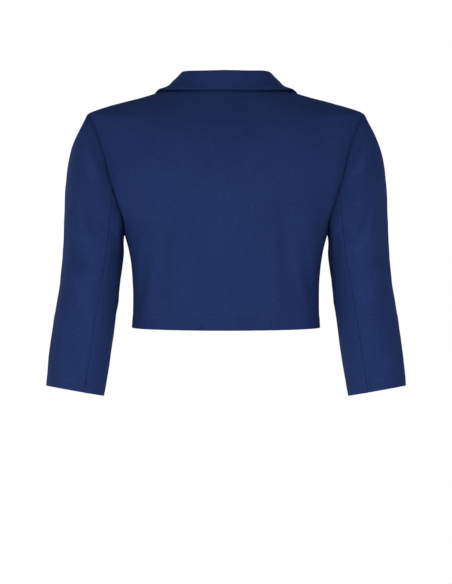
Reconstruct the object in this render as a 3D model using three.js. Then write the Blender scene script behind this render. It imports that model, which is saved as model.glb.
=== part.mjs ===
// A cropped spencer jacket of plain double-knit cloth, hollow and filled out as if worn.
// It has a one-piece back, two fronts, a notched collar with turned-back lapels, and two-piece
// three-quarter sleeves. Every piece of cloth is a closed wall of its own.
// Millimetres, +Z up. The front faces -Y and the wearer's left is +X. The origin lies on the middle
// plane, level with the shoulders where they meet the collar.
import * as THREE from "three";

// Driving sizes
const CLOTH = 1.8; // thickness of the double-knit cloth
const TURNED = 2.5; // collar and lapel: two layers pressed together
const SEAM_GAP = 0.3; // space between two pieces at a seam
const HEM_Z = -354; // body hem
const SHOULDER_HALF = 204; // middle of the body to the shoulder tip
const SHOULDER_DROP = 31; // shoulder tip below the collar end of the shoulder
const UNDERARM_Z = -210; // bottom of the armhole
const NECK_HALF = 72; // middle of the body to the neck seam at the shoulder
const TURN_UP = 20; // depth of the turned-up hems
const STAND = 23; // height of the collar stand at the middle of the back
const BREAK_Z = -232; // where the lapels begin to turn back
const FRONT_GAP = 5; // front edge to the middle of the body at the break
const NAVY = 0x22315a;
const NAVY_FACING = 0x253560;

const DEGREE = Math.PI / 180;
const SIDE = Math.PI / 2;

// Body sections from the hem up to the neck seam. Heights are given at the side, back and front,
// because the upper sections dip towards the middle of the back and of the chest.
const BODY = [
  { at: "hem", side: HEM_Z + 0.6, back: HEM_Z - 0.8, front: HEM_Z, half: 140.5, rear: 90, fore: 107, power: 2.25 },
  { at: "waist", side: -325, back: -325, front: -325, half: 139.2, rear: 90, fore: 108, power: 2.25 },
  { at: "ribs", side: -290, back: -290, front: -290, half: 139.3, rear: 94, fore: 113, power: 2.25 },
  { at: "under bust", side: -258, back: -258, front: -260, half: 142, rear: 100, fore: 119, power: 2.25 },
  { at: "bust", side: -232, back: -231, front: -236, half: 146.8, rear: 104, fore: 121, power: 2.25 },
  { at: "underarm", side: UNDERARM_Z, back: -207, front: -214, half: 153, rear: 107, fore: 119, power: 2.3 },
  { at: "low armhole", side: -191, back: -186, front: -196, half: 159, rear: 109, fore: 115, power: 2.3 },
  { at: "chest", side: -164, back: -159, front: -173, half: 174, rear: 110, fore: 108, power: 2.3 },
  { at: "blade", side: -130, back: -128, front: -148, half: 187, rear: 110, fore: 101, power: 2.3 },
  { at: "back yoke", side: -95, back: -98, front: -125, half: 195, rear: 107, fore: 94, power: 2.25 },
  { at: "high yoke", side: -60, back: -72, front: -106, half: 202, rear: 102, fore: 88, power: 2.1 },
  { at: "tip", side: -SHOULDER_DROP, back: -50, front: -91, half: SHOULDER_HALF, rear: 94.5, fore: 81, power: 1.78 },
  { at: "shoulder", side: -18.8, back: -34, front: -82, half: 165, rear: 86, fore: 75, power: 1.82 },
  { at: "mid shoulder", side: -8.3, back: -20, front: -75, half: 123, rear: 77.5, fore: 68, power: 1.9 },
  { at: "collar edge", side: 1.5, back: -7, front: -69, half: 94, rear: 69, fore: 62, power: 1.97 },
  { at: "neck", side: 9, back: 4, front: -66, half: NECK_HALF, rear: 60, fore: 56, power: 2 },
];
const level = (name) => BODY.findIndex((section) => section.at === name);
const UNDERARM = level("underarm");
const TIP = level("tip");
const NECK = level("neck");

// The bust fills the front out to each side of the middle
const BUST = { x: 76, z: -228, wide: 44, tall: 50, rise: 10 };

// How far the armhole bites into the back and the front, round the body from the side
const BACK_BITE = 27 * DEGREE;
const FRONT_BITE = 32 * DEGREE;

// Sleeve rings below the armhole: centre, half width, half depth, and how far the outer side is higher
const SLEEVE = [
  { at: "underarm", x: 198, y: -2, z: -204.5, half: 45.2, depth: 63, tilt: 7 },
  { at: "upper arm", x: 197.8, y: -1, z: -232, half: 46.2, depth: 60.5, tilt: 7 },
  { at: "above elbow", x: 202.4, y: 0, z: -275, half: 45.3, depth: 55.5, tilt: 7.5 },
  { at: "elbow", x: 208.7, y: -1, z: -320, half: 45.6, depth: 51, tilt: 8 },
  { at: "below elbow", x: 215.2, y: -5, z: -364, half: 46.3, depth: 47, tilt: 9 },
  { at: "forearm", x: 221.9, y: -9, z: -408, half: 46.4, depth: 43.5, tilt: 10 },
  { at: "cuff", x: 227.3, y: -12, z: -449, half: 44, depth: 41, tilt: 10.2 },
];
// The outer line of the sleeve from the shoulder tip down to the underarm ring
const CAP = [
  { z: -SHOULDER_DROP, x: SHOULDER_HALF + SEAM_GAP },
  { z: -48, x: 214.6 },
  { z: -66, x: 224.3 },
  { z: -88, x: 232.9 },
  { z: -116, x: 238.2 },
  { z: -151, x: 240.8 },
  { z: -198.9, x: 243.1 },
];
const CAP_LEAVE = { top: 20 * DEGREE, more: 70 * DEGREE, power: 1.7 }; // the way the sleeve leaves the armhole
const CAP_ROUND = { share: 0.76, from: 0.1, to: 0.8 }; // how the cap fills out from arc to full tube
// The two sleeve seams: how far out they run at each height
const SEAM_TOP = 0.62; // share of the armhole's length, from the shoulder tip, where both start
const SLEEVE_SEAMS = [
  { z: -150, back: 167.6, front: 161 },
  { z: -194, back: 171, front: 168 },
  { z: -254, back: 178, front: 175.5 },
  { z: -324, back: 190.7, front: 187 },
  { z: -388, back: 201.2, front: 197.5 },
  { z: -450, back: 210.6, front: 207 },
];

// Soft folds in the cloth: their middle, half length, half width and depth, which is negative on a
// ridge. Lean turns a fold's line away from upright. Body folds are placed by x and z, sleeve folds by
// the share of the way round and the height.
const BACK_FOLDS = [
  { x: 84, z: -254, lean: -15, long: 42, wide: 11, deep: 2.2 },
  { x: 124, z: -278, lean: -17, long: 28, wide: 9, deep: 1.7 },
  { x: 36, z: -290, lean: -6, long: 50, wide: 18, deep: 0.8 },
  { x: 130, z: -118, lean: 16, long: 40, wide: 13, deep: 1.2 },
];
const FRONT_FOLDS = [
  { x: 92, z: -292, lean: -12, long: 48, wide: 13, deep: 2 },
  { x: 48, z: -300, lean: 4, long: 42, wide: 15, deep: 1.4 },
  { x: 136, z: -150, lean: 24, long: 34, wide: 11, deep: 1.5 },
];
const SLEEVE_FOLDS = [
  { round: 0.6, z: -104, lean: -36, long: 36, wide: 8, deep: -1.4 },
  { round: 0.46, z: -116, lean: -36, long: 40, wide: 10, deep: 1.2 },
  { round: 0.42, z: -213, lean: -47, long: 27, wide: 8, deep: -1.8 },
  { round: 0.35, z: -234, lean: -45, long: 32, wide: 10, deep: 2.1 },
  { round: 0.24, z: -266, lean: -30, long: 38, wide: 14, deep: 1.6 },
  { round: 0.4, z: -287, lean: -36, long: 30, wide: 9, deep: -1.3 },
  { round: -0.3, z: -250, lean: -30, long: 42, wide: 12, deep: 1.8 },
  { round: -0.5, z: -306, lean: 62, long: 36, wide: 9, deep: 2 },
  { round: -0.26, z: -122, lean: -20, long: 40, wide: 13, deep: 1.4 },
];

// Collar and lapel outlines, seen from the front. The gorge seam runs from the roll line to the notch.
const GORGE_Z = -48;
const NOTCH = { x: 90, z: -65 };
const LAPEL_TIP = { x: 113, z: -76 };
const COLLAR_TIP = { x: 105, z: -40 };
const LAPEL_EDGE = [
  { x: 13, z: -226 },
  { x: 47, z: -203 },
  { x: 83, z: -154 },
  { x: 104, z: -108 },
];
const NECK_TURN = 110 * DEGREE; // the neck seam follows the neck this far round, then runs down the V
const COLLAR_EDGE = { back: 14.2, side: 13.72 }; // body section that the collar's outer edge lies over
const LIFT = { back: 4.2, side: 2.3, front: 2.1 }; // collar's middle layer above the body at its edge
const ROLL = { collar: 3, lapel: 2.4 }; // radius of the fold

const smooth = (from, to, value) => THREE.MathUtils.smoothstep(value, from, to);
const mix = THREE.MathUtils.lerp;
const mixed = (a, b, share) => new THREE.Vector3().lerpVectors(a, b, share);
const steps = (count, from = 0, to = 1) =>
  Array.from({ length: count + 1 }, (_, i) => mix(from, to, i / count));
const mirrored = (point) => new THREE.Vector3(-point.x, point.y, point.z);

// A column of a table at a place between its rows, on a smooth curve through them
function column(table, name, place) {
  const last = table.length - 1;
  const row = Math.min(Math.max(Math.floor(place), 0), last - 1);
  const value = (i) => table[Math.min(Math.max(i, 0), last)][name];
  const [before, here, next, after] = [value(row - 1), value(row), value(row + 1), value(row + 2)];
  const f = place - row;
  const bend = 2 * before - 5 * here + 4 * next - after + f * (3 * (here - next) + after - before);
  return here + 0.5 * f * (next - before + f * bend);
}

// The place where a rising function passes a value, by halving
function solve(rising, value, low, high) {
  for (let i = 0; i < 40; i++) {
    const middle = (low + high) / 2;
    if (rising(middle) < value) low = middle;
    else high = middle;
  }
  return (low + high) / 2;
}

// How deep the folds of a table press the cloth in at a spot
function foldDepth(folds, across, z) {
  return folds.reduce((sum, fold) => {
    const turn = fold.lean * DEGREE;
    const [dx, dz] = [across(fold), z - fold.z];
    const beside = dx * Math.cos(turn) - dz * Math.sin(turn);
    const along = dx * Math.sin(turn) + dz * Math.cos(turn);
    return sum + fold.deep * Math.exp(-((beside / fold.wide) ** 2) - (along / fold.long) ** 2);
  }, 0);
}

// Outer surface of the body: theta runs round from the middle of the back, 90 degrees at the side
function bodyPoint(theta, place) {
  const at = (name) => column(BODY, name, place);
  const [s, c] = [Math.sin(theta), Math.cos(theta)];
  const power = at("power");
  const reach = (Math.abs(s) ** power + Math.abs(c) ** power) ** (-1 / power);
  const middle = c > 0 ? at("back") : at("front");
  const point = new THREE.Vector3(
    at("half") * reach * s,
    (c > 0 ? at("rear") : at("fore")) * reach * c,
    mix(at("side"), middle, c * c),
  );
  const x = Math.abs(point.x);
  if (c > 0) {
    point.y -= c * foldDepth(BACK_FOLDS, (fold) => x - fold.x, point.z);
  } else {
    const bust = Math.exp(-(((x - BUST.x) / BUST.wide) ** 2) - ((point.z - BUST.z) / BUST.tall) ** 2);
    point.y += c * (BUST.rise * bust - foldDepth(FRONT_FOLDS, (fold) => x - fold.x, point.z));
  }
  return point;
}

// The unit vector that points out of a surface given as a function of two places
function outward(surface, a, b, stepA, stepB, limitB = [-Infinity, Infinity]) {
  const low = Math.max(b - stepB, limitB[0]);
  const high = Math.min(b + stepB, limitB[1]);
  const alongA = surface(a + stepA, b).sub(surface(a - stepA, b));
  const alongB = surface(a, high).sub(surface(a, low));
  return alongB.cross(alongA).normalize();
}
const bodyNormal = (theta, place) => outward(bodyPoint, theta, place, 0.01, 0.02, [0, NECK]);

// The spot on the front of the body that is seen at x, z from the front
function frontSpot(x, z) {
  const placeAt = (theta) => solve((place) => bodyPoint(theta, place).z, z, 0, NECK);
  const theta = solve((angle) => -bodyPoint(angle, placeAt(angle)).x, -x, SIDE, Math.PI);
  return { theta, place: placeAt(theta) };
}

// Armhole

function armholeAngle(place, toBack) {
  const up = (place - UNDERARM) / (TIP - UNDERARM);
  const bulge = Math.max(0, 1 - Math.abs(2 * up - 1) ** 2.2) ** 0.6;
  return toBack ? SIDE - BACK_BITE * bulge : SIDE + FRONT_BITE * bulge;
}

// The body section at which each armhole half reaches a share of its length, from the tip down
function armholeLengths(toBack) {
  const samples = 200;
  const rows = [];
  let length = 0;
  let last = null;
  for (let i = 0; i <= samples; i++) {
    const place = mix(UNDERARM, TIP, (1 + Math.cos((Math.PI * i) / samples)) / 2);
    const point = bodyPoint(armholeAngle(place, toBack), place);
    if (last) length += point.distanceTo(last);
    rows.push({ place, length });
    last = point;
  }
  return rows.map((row) => ({ place: row.place, share: row.length / length }));
}
const ARMHOLE = { back: armholeLengths(true), front: armholeLengths(false) };

function armholePlace(share, toBack) {
  const rows = toBack ? ARMHOLE.back : ARMHOLE.front;
  const i = Math.max(1, rows.findIndex((row) => row.share >= share - 1e-9));
  const [above, below] = [rows[i - 1], rows[i]];
  return mix(above.place, below.place, (share - above.share) / (below.share - above.share));
}

function armholePoint(share, toBack) {
  const place = armholePlace(share, toBack);
  return bodyPoint(armholeAngle(place, toBack), place);
}

// Sleeve

// The outer line of the cap at a share of the way from the tip to the underarm ring
function capOuter(share) {
  const z = mix(CAP[0].z, CAP[CAP.length - 1].z, share);
  const row = solve((place) => -column(CAP, "z", place), -z, 0, CAP.length - 1);
  return new THREE.Vector3(column(CAP, "x", row), 0, z);
}

// The angle in plan at which the sleeve's cloth leaves the armhole
const leaveAngle = (share) => CAP_LEAVE.top + CAP_LEAVE.more * share ** CAP_LEAVE.power;

// The sleeve's edge keeps a seam gap from the body's: past it at the shoulder, off its face below
function sleeveEdge(share, toBack) {
  const leave = leaveAngle(share) * smooth(0, 0.1, share);
  const past = new THREE.Vector3(Math.cos(leave), (toBack ? 1 : -1) * Math.sin(leave), 0);
  const place = armholePlace(share, toBack);
  const off = bodyNormal(armholeAngle(place, toBack), place);
  const way = past.lerp(off, smooth(0.1, 0.45, share)).normalize();
  const gap = SEAM_GAP * (1 + 0.6 * smooth(0.7, 1, share));
  return armholePoint(share, toBack).addScaledVector(way, gap);
}

// Rows of the cap run from one side of the armhole to the other round the outer line
function capPoint(round, share) {
  const sign = round >= 0 ? 1 : -1;
  const seam = sleeveEdge(share, round >= 0);
  const outer = capOuter(share);
  const leave = leaveAngle(share);
  const full = smooth(CAP_ROUND.from, CAP_ROUND.to, share);
  const seamDepth = Math.abs(seam.y);
  const middle = mix(CAP_ROUND.share * seamDepth, SLEEVE[0].depth, full);
  const even = (middle - seamDepth / 2) / (0.375 * (1 + Math.sin(leave)));
  const flat = ((middle - seamDepth / 8) / 0.75 - seamDepth) / Math.sin(leave);
  const seamHandle = mix(even, flat, smooth(0.55, 0.85, share)); // keeps the underarm from bulging
  const outerHandle = (middle - seamDepth / 2) / 0.375 - seamHandle * Math.sin(leave);
  const nearOuter = outer.clone().add(new THREE.Vector3(0, sign * outerHandle, 0));
  const way = new THREE.Vector3(Math.cos(leave), sign * Math.sin(leave), 0);
  const nearSeam = seam.clone().addScaledVector(way, seamHandle);
  return new THREE.CubicBezierCurve3(outer, nearOuter, nearSeam, seam).getPoint(Math.abs(round));
}

function ringPoint(round, ring) {
  const at = (name) => column(SLEEVE, name, ring);
  const [angle, tilt] = [round * Math.PI, at("tilt") * DEGREE];
  const out = at("half") * Math.cos(angle);
  return new THREE.Vector3(
    at("x") + out * Math.cos(tilt),
    at("y") + at("depth") * Math.sin(angle),
    at("z") + out * Math.sin(tilt),
  );
}

// Outer surface of the left sleeve. Round runs from the outer line (0) to the inner line, 1 by the
// back and -1 by the front. Down runs from the shoulder tip (0) to the underarm (1), then one for
// each ring of the sleeve table.
function sleevePoint(round, down) {
  const point = down <= 1 ? capPoint(round, down) : ringPoint(round, down - 1);
  if (down > 1 && down < 2) {
    const step = capPoint(round, 1).sub(ringPoint(round, 0)); // the cap's last row gives way to the rings
    point.addScaledVector(step, 1 - smooth(1, 2, down));
  }
  const spread = 180; // half the way round a sleeve, in millimetres
  const free = down <= 1 ? smooth(0, 0.25, down) * (1 - Math.abs(round) ** 6) : 1;
  const deep = free * foldDepth(SLEEVE_FOLDS, (fold) => (round - fold.round) * spread, point.z);
  const middle = new THREE.Vector3(column(SLEEVE, "x", Math.max(0, down - 1)), 0, point.z);
  return point.addScaledVector(middle.sub(point).normalize(), deep);
}
const CUFF = SLEEVE.length;
const sleeveNormal = (round, down) => outward(sleevePoint, round, down, 0.004, 0.01, [0.02, CUFF]);

// Walls

// A closed wall between an outer and an inner grid of points
function wall(outer, inner) {
  const [rows, columns] = [outer.length, outer[0].length];
  const found = new Map();
  const positions = [];
  const number = (point) => {
    const key = [point.x, point.y, point.z].map((v) => v.toFixed(3)).join();
    if (!found.has(key)) {
      found.set(key, found.size);
      positions.push(point.x, point.y, point.z);
    }
    return found.get(key);
  };
  const [top, under] = [outer, inner].map((grid) => grid.map((row) => row.map(number)));
  const index = [];
  const face = (a, b, c) => {
    if (a !== b && b !== c && c !== a) index.push(a, b, c);
  };
  const at = (i) => new THREE.Vector3().fromArray(positions, 3 * i);
  const quad = (a, b, c, d) => {
    const turned = at(b).distanceTo(at(d)) < at(a).distanceTo(at(c)); // split along the shorter way
    const [p, q, r, t] = turned ? [b, c, d, a] : [a, b, c, d];
    face(p, q, r);
    face(p, r, t);
  };
  for (let i = 0; i < rows - 1; i++) {
    for (let j = 0; j < columns - 1; j++) {
      quad(top[i][j], top[i][j + 1], top[i + 1][j + 1], top[i + 1][j]);
      quad(under[i][j], under[i + 1][j], under[i + 1][j + 1], under[i][j + 1]);
    }
    quad(top[i][0], top[i + 1][0], under[i + 1][0], under[i][0]);
    quad(top[i][columns - 1], under[i][columns - 1], under[i + 1][columns - 1], top[i + 1][columns - 1]);
  }
  for (let j = 0; j < columns - 1; j++) {
    quad(top[0][j], under[0][j], under[0][j + 1], top[0][j + 1]);
    quad(top[rows - 1][j], top[rows - 1][j + 1], under[rows - 1][j + 1], under[rows - 1][j]);
  }
  return facingOut(positions, index);
}

function facingOut(positions, index) {
  const at = (i) => new THREE.Vector3().fromArray(positions, 3 * i);
  let volume = 0;
  for (let i = 0; i < index.length; i += 3) {
    volume += at(index[i]).dot(at(index[i + 1]).cross(at(index[i + 2])));
  }
  if (volume < 0) index.reverse();
  const geometry = new THREE.BufferGeometry();
  geometry.setAttribute("position", new THREE.Float32BufferAttribute(positions, 3));
  geometry.setIndex(index);
  geometry.computeVertexNormals();
  return geometry;
}

// Rows of body places from the hem to the neck. Where the hem is turned up the cloth is double.
const HEM_ROWS = 2;
const TURN_UP_PLACE = solve((place) => column(BODY, "side", place), HEM_Z + TURN_UP, 0, 2);
const ARMHOLE_SHARES = steps(12).map((f) => mix(f, 0.5 - 0.5 * Math.cos(Math.PI * f), 0.6));
const armholePlaces = (toBack) => ARMHOLE_SHARES.map((share) => armholePlace(share, toBack)).reverse();
function bodyRows(toBack) {
  const hem = steps(HEM_ROWS, 0, TURN_UP_PLACE).map((place) => ({ place, thick: 2 * CLOTH }));
  const above = steps(6, TURN_UP_PLACE + 0.02, UNDERARM).slice(0, -1);
  const places = [...above, ...armholePlaces(toBack), ...steps(5, TIP, NECK).slice(1)];
  return [...hem, ...places.map((place) => ({ place, thick: CLOTH }))];
}

const inArmhole = (place) => place > UNDERARM + 1e-6 && place < TIP - 1e-6;
const edgeAngle = (place, toBack) => (inArmhole(place) ? armholeAngle(place, toBack) : SIDE);

// Where the shoulder slope breaks down into the sleeve, both walls end on one shared slanted face
function seamInset(share, toBack) {
  const place = armholePlace(share, toBack);
  const body = bodyNormal(armholeAngle(place, toBack), place);
  const sleeve = sleeveNormal(toBack ? 0.98 : -0.98, Math.max(share, 0.03));
  const shared = body.clone().add(sleeve).normalize();
  const convex = 1 - smooth(0.1, 0.3, share);
  const lean = mixed(body, shared, convex);
  const own = mixed(sleeve, shared, convex);
  return { body: lean.multiplyScalar(1 / lean.dot(body)), sleeve: own.multiplyScalar(1 / own.dot(sleeve)) };
}

function bodyGrid(rows, anglesAt, toBack) {
  const outer = [];
  const inner = [];
  for (const { place, thick } of rows) {
    const angles = anglesAt(place);
    outer.push(angles.map((theta) => bodyPoint(theta, place)));
    inner.push(
      angles.map((theta) => bodyPoint(theta, place).addScaledVector(bodyNormal(theta, place), -thick)),
    );
  }
  return { outer, inner, rows, toBack };
}

// A small angle that leaves half the seam gap at the side of the body
const halfGap = (place) => SEAM_GAP / 2 / (0.5 * (column(BODY, "rear", place) + column(BODY, "fore", place)));

// Columns between these angles and the middle keep still beside the armhole
const BACK_STEADY = 54 * DEGREE;
const FRONT_STEADY = 124 * DEGREE;

function backGeometry() {
  const anglesAt = (place) => {
    const edge = edgeAngle(place, true) - (inArmhole(place) ? 0 : halfGap(place));
    const half = [...steps(6, 0, BACK_STEADY), ...steps(7, BACK_STEADY, edge).slice(1)];
    return [...half.slice(1).map((theta) => -theta).reverse(), ...half];
  };
  const grid = bodyGrid(bodyRows(true), anglesAt, true);
  return wall(grid.outer, grid.inner);
}

// The x of the front edge at a height: the V of the neck, then the straight edge, cut away at the hem
function frontEdge(z) {
  const top = bodyPoint(NECK_TURN, NECK);
  if (z > BREAK_Z) return mix(FRONT_GAP, top.x, (z - BREAK_Z) / (top.z - BREAK_Z));
  const down = (BREAK_Z - z) / (BREAK_Z - HEM_Z);
  return FRONT_GAP + 3 * down + 15 * down ** 4;
}

function frontEdgeAngle(place) {
  if (place >= NECK) return NECK_TURN;
  const inside = (theta) => {
    const point = bodyPoint(theta, place);
    return frontEdge(point.z) - point.x;
  };
  return solve(inside, 0, SIDE, Math.PI);
}

function frontGeometry() {
  const anglesAt = (place) => {
    const edge = edgeAngle(place, false) + (inArmhole(place) ? 0 : halfGap(place));
    const front = frontEdgeAngle(place);
    const steady = Math.min(FRONT_STEADY, mix(edge, front, 0.45));
    return [...steps(6, edge, steady), ...steps(7, steady, front).slice(1)];
  };
  const grid = bodyGrid(bodyRows(false), anglesAt, false);
  return wall(grid.outer, grid.inner);
}

// Sleeve panels

const nearest = (share) =>
  ARMHOLE_SHARES.reduce((best, s) => (Math.abs(s - share) < Math.abs(best - share) ? s : best));
const SEAM_START = nearest(SEAM_TOP);
const SLEEVE_GAP = SEAM_GAP / 2 / 170; // half the seam gap as a share of the half way round

// The share of the way round at which a sleeve seam crosses a row, found from how far out it runs
function seamRound(seam, down) {
  const toBack = seam === "back";
  const last = SLEEVE_SEAMS.length - 1;
  const outAt = (z) => {
    const row = solve((place) => -column(SLEEVE_SEAMS, "z", place), -z, 0, last);
    return column(SLEEVE_SEAMS, seam, row);
  };
  const start = sleeveEdge(SEAM_START, toBack);
  const early = start.x - outAt(start.z);
  const short = (round) => {
    const point = sleevePoint(toBack ? round : -round, down);
    return outAt(point.z) + early * (1 - smooth(0, 60, start.z - point.z)) - point.x;
  };
  return solve(short, 0, 0.4, 1);
}

const TUBE_ROWS = steps(9, 1, 6.55).slice(1);
const CUFF_ROWS = steps(HEM_ROWS, 6.56, CUFF);
const SEAM_ROWS = [...ARMHOLE_SHARES.filter((share) => share > SEAM_START), ...TUBE_ROWS, ...CUFF_ROWS];
const SEAM_ROUNDS = new Map(
  SEAM_ROWS.map((down) => [down, { back: seamRound("back", down), front: seamRound("front", down) }]),
);

// A point of the sleeve's two faces
function sleeveSpot({ round, down }) {
  const outer = sleevePoint(round, down);
  const onSeam = down === 0 || (down <= 1 && Math.abs(round) > 1 - 1e-9);
  const way = onSeam ? seamInset(down, round > 0).sleeve : sleeveNormal(round, down);
  if (down === 0) way.setY(0); // both halves of the cap end on one line at the shoulder tip
  const thick = down > 6.555 ? 2 * CLOTH : CLOTH;
  return { outer, inner: outer.clone().addScaledVector(way, -thick) };
}

function sleeveWall(spots) {
  const made = spots.map((row) => row.map(sleeveSpot));
  return wall(made.map((row) => row.map((spot) => spot.outer)), made.map((row) => row.map((spot) => spot.inner)));
}

function upperSleeveGeometry() {
  const columns = 22;
  const above = ARMHOLE_SHARES.filter((share) => share < SEAM_START);
  const rows = [...above, SEAM_START - SLEEVE_GAP, ...SEAM_ROWS].map((down) => {
    const ends = SEAM_ROUNDS.get(down) ?? { back: 1 + SLEEVE_GAP, front: 1 + SLEEVE_GAP };
    const [toFront, toBack] = [ends.front - SLEEVE_GAP, ends.back - SLEEVE_GAP];
    return steps(columns, -toFront, toBack).map((round) => ({ round, down }));
  });
  return sleeveWall(rows);
}

// How far along each point of a line lies, as a share of the line's length
function lengthShares(points) {
  const sums = [0];
  points.slice(1).forEach((point, i) => sums.push(sums[i] + point.distanceTo(points[i])));
  return sums.map((sum) => sum / sums[sums.length - 1]);
}

// Fills a grid between its first and last rows, keeping its first and last columns
function fillBetween(grid, first, last) {
  const rows = grid.slice(first, last + 1);
  const right = rows[0].length - 1;
  const [upper, lower] = [rows[0], rows[rows.length - 1]];
  const across = lengthShares(upper);
  const downLeft = lengthShares(rows.map((row) => row[0]));
  const downRight = lengthShares(rows.map((row) => row[right]));
  for (let i = 1; i < rows.length - 1; i++) {
    for (let j = 1; j < right; j++) {
      const down = mix(downLeft[i], downRight[i], across[j]);
      const bendLeft = rows[i][0].clone().sub(mixed(upper[0], lower[0], down));
      const bendRight = rows[i][right].clone().sub(mixed(upper[right], lower[right], down));
      const bend = bendLeft.lerp(bendRight, across[j]);
      rows[i][j] = mixed(upper[j], lower[j], down).add(bend);
    }
  }
}

// The under sleeve's columns start from the armhole's lower loop, its two edges from the seams' tops.
// Above its first full ring the cloth is drawn from the loop to the ring and bent to meet both seams.
function underSleeveGeometry() {
  const top = SEAM_START + SLEEVE_GAP;
  const shares = [top, ...ARMHOLE_SHARES.filter((share) => share > SEAM_START)];
  const across = (share) => (share - top) / (1 - top);
  const backHalf = shares.map((share) => ({ seam: "back", side: 1, across: across(share) }));
  const frontHalf = shares.slice(0, -1).map((share) => ({ seam: "front", side: -1, across: across(share) }));
  const starts = [...backHalf, ...frontHalf.reverse()];
  const spots = [top, ...SEAM_ROWS].map((down, i) =>
    starts.map((start) => {
      if (i === 0) return sleeveSpot({ round: start.side, down: mix(top, 1, start.across) });
      const edge = SEAM_ROUNDS.get(down)[start.seam] + SLEEVE_GAP;
      return sleeveSpot({ round: start.side * mix(edge, 1, start.across), down });
    }),
  );
  const outer = spots.map((row) => row.map((spot) => spot.outer));
  const inner = spots.map((row) => row.map((spot) => spot.inner));
  const ring = SEAM_ROWS.findIndex((down) => down > 2) + 1;
  fillBetween(outer, 0, ring);
  for (let i = 1; i < ring; i++) {
    for (let j = 1; j < starts.length - 1; j++) {
      const down = outer[i + 1][j].clone().sub(outer[i - 1][j]);
      const round = outer[i][j + 1].clone().sub(outer[i][j - 1]);
      inner[i][j] = outer[i][j].clone().addScaledVector(down.cross(round).normalize(), -CLOTH);
    }
  }
  return wall(outer, inner);
}

// Collar and lapels

// One section of a turned-back piece: up from the edge of the body, over the roll, and down to its edge
function turnedSection({ edge, up, out, height, roll, release, inset, sink, cover, bow }) {
  const points = [];
  const base = edge.clone().addScaledVector(out, -inset);
  const straight = Math.max(height - roll, 0.2);
  for (const share of steps(3)) {
    points.push(base.clone().addScaledVector(up, mix(-sink, straight, share)));
  }
  const centre = base.clone().addScaledVector(up, straight).addScaledVector(out, roll);
  for (const angle of steps(6, Math.PI, release).slice(1)) {
    points.push(
      centre.clone().addScaledVector(out, roll * Math.cos(angle)).addScaledVector(up, roll * Math.sin(angle)),
    );
  }
  const lead = points[points.length - 1].clone().sub(cover[0].point);
  for (const { share, point, lift } of cover.slice(1)) {
    const left = (1 - share) ** bow;
    points.push(point.clone().addScaledVector(lift, 1 - left).addScaledVector(lead, left));
  }
  return points;
}

// The neck line from the middle of the back round to the V and down it, as spots on the body
function neckSpot(share) {
  if (share <= 1) return { theta: share * SIDE, place: NECK };
  const turn = 0.35; // part of the front stretch that still follows the neck
  const along = share - 1;
  if (along <= turn) return { theta: mix(SIDE, NECK_TURN, along / turn), place: NECK };
  const z = mix(bodyPoint(NECK_TURN, NECK).z, GORGE_Z, (along - turn) / (1 - turn));
  return frontSpot(frontEdge(z), z);
}

// The outer edge of the collar, from the middle of the back over the shoulder to its tip and notch
function collarEdgeSpot(share) {
  if (share <= 1) {
    return { theta: share * SIDE, place: mix(COLLAR_EDGE.back, COLLAR_EDGE.side, smooth(0, 1, share)) };
  }
  const tipAt = 0.6; // part of the front stretch that runs down to the tip
  const along = share - 1;
  const tip = frontSpot(COLLAR_TIP.x, COLLAR_TIP.z);
  if (along <= tipAt) {
    const part = along / tipAt;
    return { theta: mix(SIDE, tip.theta, part), place: mix(COLLAR_EDGE.side, tip.place, part) };
  }
  const part = (along - tipAt) / (1 - tipAt);
  const end = { x: NOTCH.x - SEAM_GAP, z: NOTCH.z + 3 * SEAM_GAP };
  return frontSpot(mix(COLLAR_TIP.x, end.x, part), mix(COLLAR_TIP.z, end.z, part));
}

const spotPoint = ({ theta, place }) => bodyPoint(theta, place);
const spotNormal = ({ theta, place }) => bodyNormal(theta, place);
const spotBetween = (a, b, share) => ({
  theta: mix(a.theta, b.theta, share),
  place: mix(a.place, b.place, share),
});

const FALL_STEPS = steps(6);

// The way the turned piece rises from the neck line: up and inwards at the back, off the body in front
function turnedFrame(neckAt, share, front) {
  const spot = neckAt(share);
  const edge = spotPoint(spot);
  const ahead = spotPoint(neckAt(share + 0.01)).sub(spotPoint(neckAt(Math.max(share - 0.01, 0)))).normalize();
  const inward = new THREE.Vector3(-edge.x, -edge.y, 0).normalize();
  const leaning = new THREE.Vector3(0, 0, 1).addScaledVector(inward, mix(0.3, 0.56, Math.min(share, 1)));
  const up = mixed(leaning.normalize(), spotNormal(spot), front);
  up.addScaledVector(ahead, -up.dot(ahead)).normalize();
  const out = up.clone().cross(ahead);
  const body = spotPoint(spotBetween(spot, { theta: spot.theta, place: spot.place - 1 }, 1)).sub(edge);
  if (out.dot(body) < 0) out.negate();
  return { spot, edge, up, out: out.normalize() };
}

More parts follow.
